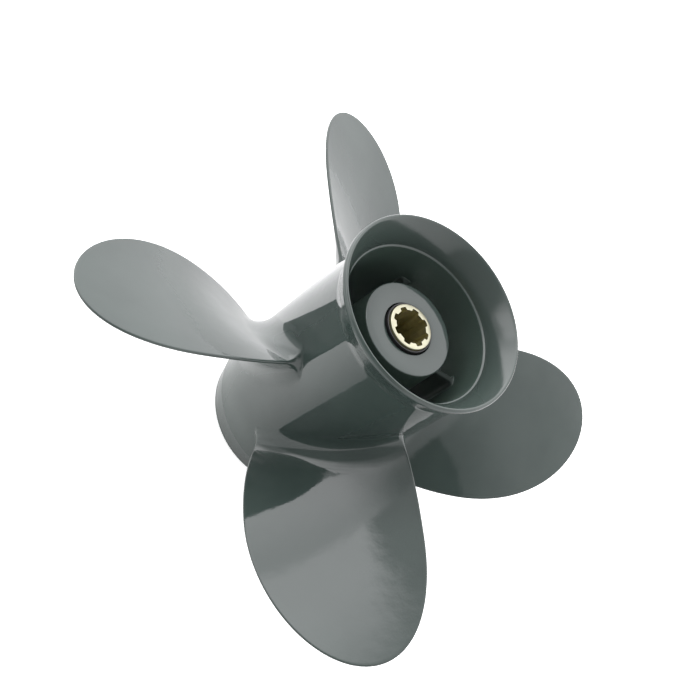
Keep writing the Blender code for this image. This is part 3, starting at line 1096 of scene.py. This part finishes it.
# %% [markdown]
# ## Walls and roof of the tent
# The walls are brightest on the camera's left and dimmest on its own side. A picture of a studio
# could be laid round the part instead, but a ramp over the azimuth can be changed stop by stop.
# The roof is darker than the walls, and it is darkest above the camera, where the cloth is left
# open for the lens. To the right it gets lighter, first at a seam and then little by little.
# Each edge is a pair of degrees between which the light changes.

# %% Walls
WALL_LIGHTS = ((-180, 3.0), (-158, 4.1), (-130, 4.2), (-97, 1.2), (-30, 0.8),
               (0, 1.3), (36, 1.8), (125, 2.25), (155, 2.3), (180, 3.0))
WALL_MOST = 4.5
WALL_FOOT = (0, 12)
WALL_FOOT_LOSS = 0.04
WALL_TOP = (34, 49)
WALL_TOP_LOSS = 0.16

azimuth = turn_from(0)
stops = [((place + 180) / 360, light / WALL_MOST) for place, light in WALL_LIGHTS]
wall = WALL_MOST * dome.node("ShaderNodeValToRGB", {"stops": stops},
                             {"Fac": (azimuth + 180) / 360})
wall = wall * ((1 - WALL_FOOT_LOSS) + WALL_FOOT_LOSS * elevation.rise(*WALL_FOOT)
               - WALL_TOP_LOSS * elevation.rise(*WALL_TOP))
print("stops round the walls:", len(stops))

# %% Roof
# Above the camera and to its right the roof comes down a little lower than elsewhere.
ROOF_EDGE = (48, 52)
ROOF_LIGHT = 0.15
ROOF_SEAM = (14, 18)
ROOF_SEAM_LIGHT = 0.6
ROOF_RIGHT = (20, 65)
ROOF_RIGHT_LIGHT = 0.75
ROOF_LEFT = (-75, -45)
ROOF_LEFT_LIGHT = 1.3
WINDOW_EDGE = (45.5, 47.5)
WINDOW_LEFT = (-50, -35)
WINDOW_RIGHT = (30, 60)

over = (ROOF_LIGHT + ROOF_SEAM_LIGHT * azimuth.rise(*ROOF_SEAM)
        + ROOF_RIGHT_LIGHT * azimuth.rise(*ROOF_RIGHT)
        + ROOF_LEFT_LIGHT * (1 - azimuth.rise(*ROOF_LEFT)))
window = elevation.rise(*WINDOW_EDGE) * azimuth.band(WINDOW_LEFT, WINDOW_RIGHT)
roof = dome.maths("MAXIMUM", elevation.rise(*ROOF_EDGE), window)
light = wall * (1 - roof) + over * roof
print("light of the roof above the camera and at the left:", ROOF_LIGHT,
      ROOF_LIGHT + ROOF_LEFT_LIGHT)

# %% [markdown]
# ## Lamps and the open side
# Three lamps shine through the cloth: a long softbox overhead, whose straight edge is what the
# barrel mirrors as a hard line, a low lamp at one side, and a soft glow behind. Below the camera
# the tent stands open, which the paint mirrors as a dark oval at the level of the part. Lamp
# objects would do too, but this way all the light is one sum and its edges are easy to soften.

# %% Softbox overhead
SOFTBOX_TURN = -25.7
SOFTBOX_EDGE = (-0.16, -0.03)
SOFTBOX_TOP = (60, 92)
SOFTBOX_END_TURN = 185
SOFTBOX_END = (-12, 12)
SOFTBOX_LIGHT = 3.3
ZENITH_EDGE = (72, 86)
ZENITH_LIGHT = 1.7

across_roof = seen.dot(direction(SOFTBOX_TURN)) / upwards
softbox = ((1 - across_roof.rise(*SOFTBOX_EDGE)) * elevation.band(ROOF_EDGE, SOFTBOX_TOP)
           * turn_from(SOFTBOX_END_TURN).rise(*SOFTBOX_END))
light = light + SOFTBOX_LIGHT * softbox
zenith = elevation.rise(*ZENITH_EDGE)
light = light * (1 - zenith) + ZENITH_LIGHT * zenith

# %% Side lamp and glow behind
LAMP_TURN = 269
LAMP_LEFT = (-26, -12)
LAMP_RIGHT = (2, 24)
LAMP_FOOT = (10, 17)
LAMP_TOP = (24, 44)
LAMP_LIGHT = 2.6
GLOW_PLACE = (127, 57)
GLOW_REACH = math.radians(28)
GLOW_LIGHT = 1.2

lamp = (turn_from(LAMP_TURN).band(LAMP_LEFT, LAMP_RIGHT)
        * elevation.band(LAMP_FOOT, LAMP_TOP))
glow = seen.dot(direction(*GLOW_PLACE)).rise(math.cos(GLOW_REACH), 1)
light = light + LAMP_LIGHT * lamp + GLOW_LIGHT * glow
print("lights of the three lamps:", SOFTBOX_LIGHT, LAMP_LIGHT, GLOW_LIGHT)

# %% Open side
OPENING_TURN = 325
OPENING_HEIGHT = 4
OPENING_REACH = (42, 36)
OPENING_EDGE = (0.8, 1.25)
OPENING_LIGHT = 0.42

sideways = turn_from(OPENING_TURN) / OPENING_REACH[0]
level = (elevation - OPENING_HEIGHT) / OPENING_REACH[1]
opening = 1 - (sideways * sideways + level * level).rise(*OPENING_EDGE)
light = light * (1 - opening) + OPENING_LIGHT * opening

# %% [markdown]
# ## What the camera sees of the tent
# Behind the part the tent should be plain white, whatever side it is looked at from. A white
# sheet could stand there, but the paint would mirror it. A Light Path node knows whether a ray
# comes straight from the camera, so the lamps and the opening stay in the reflections alone.
# The Standard view keeps white paper white.

# %% Light of the world
PAPER_LIGHT = 1.03
TENT_TINT = (1, 0.985, 1.005, 1)

camera_ray = dome.node("ShaderNodeLightPath", output="Is Camera Ray")
light = light * (1 - camera_ray) + PAPER_LIGHT * camera_ray
background = world.node_tree.nodes["Background"]
background.inputs["Color"].default_value = TENT_TINT
world.node_tree.links.new(light.socket, background.inputs["Strength"])
bpy.context.scene.view_settings.view_transform = "Standard"
print("nodes in the world:", len(world.node_tree.nodes))
